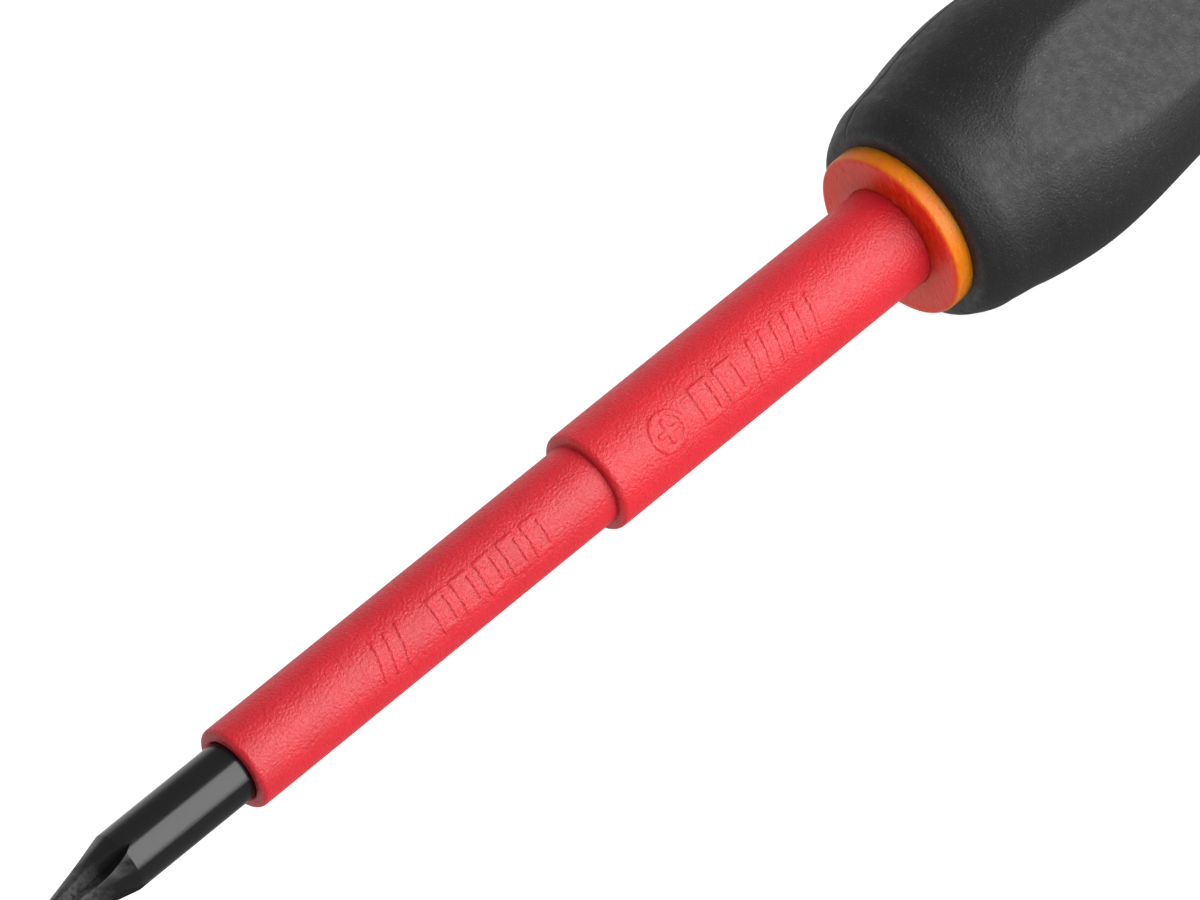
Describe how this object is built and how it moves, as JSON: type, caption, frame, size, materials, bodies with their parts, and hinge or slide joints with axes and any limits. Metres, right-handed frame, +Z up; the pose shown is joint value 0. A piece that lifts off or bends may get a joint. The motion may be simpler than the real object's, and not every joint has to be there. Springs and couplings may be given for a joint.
{
  "type": "insulated screwdriver",
  "caption": "Insulated cross-tip screwdriver: dark blade in stepped red sleeves, orange flange, black soft-grip handle with guard, waist and a palm swell with three flats.",
  "frame": {"origin": "middle of the tip's end face", "axes": "+X along the tool's axis from the handle to the tip, +Z up with one of the grip's three flats facing down"},
  "size_m": [0.202, 0.0308, 0.0296],
  "materials": {
    "blade": "black oxide, smooth",
    "inner_insulation": "fine matt grain",
    "outer_insulation": "fine matt grain",
    "core_plastic": "plain moulded",
    "shell_plastic": "satin moulded",
    "grip_rubber": "matt, fine grain",
    "cap_plastic": "fine grain",
    "symbol_plastic": "satin moulded"
  },
  "bodies": {
    "root": {"blade": "blade", "inner_sleeve": "inner_insulation", "outer_sleeve": "outer_insulation", "handle_core": "core_plastic", "handle_shell": "shell_plastic", "soft_grip": "grip_rubber", "end_cap": "cap_plastic", "tip_symbol": "symbol_plastic"}
  },
  "joints": []
}
